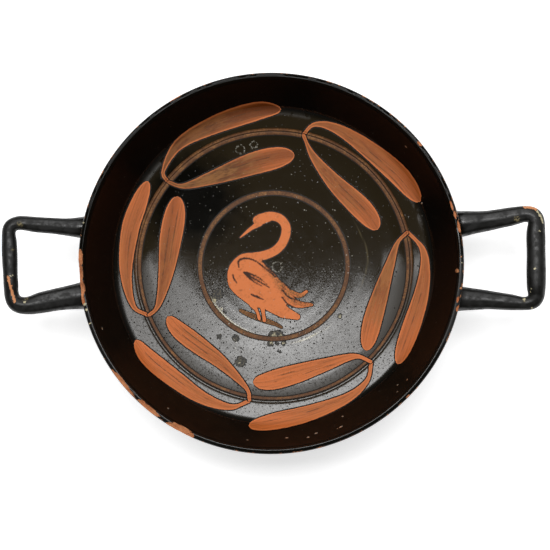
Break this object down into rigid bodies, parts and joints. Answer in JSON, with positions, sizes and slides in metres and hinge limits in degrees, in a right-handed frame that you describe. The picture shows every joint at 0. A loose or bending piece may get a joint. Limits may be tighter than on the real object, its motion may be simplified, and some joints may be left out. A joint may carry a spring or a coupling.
{
  "type": "greek kylix cup",
  "caption": "Low ancient Greek drinking cup of fired clay in black gloss, with an inset lip, a ring foot, two squared loop handles and orange leaves and a bird painted inside.",
  "frame": {"origin": "on the surface that the cup stands on, under the middle of the cup and its handles, which is the bowl's axis to about half a millimetre", "axes": "+Z up along the bowl's axis, out of its mouth; the handles point along -X and +X; +Y is up in the picture, which looks down into the bowl"},
  "size_m": [0.2703, 0.189, 0.0545],
  "materials": {
    "black_gloss": "gloss"
  },
  "bodies": {
    "root": {"kylix": "black_gloss"}
  },
  "joints": []
}
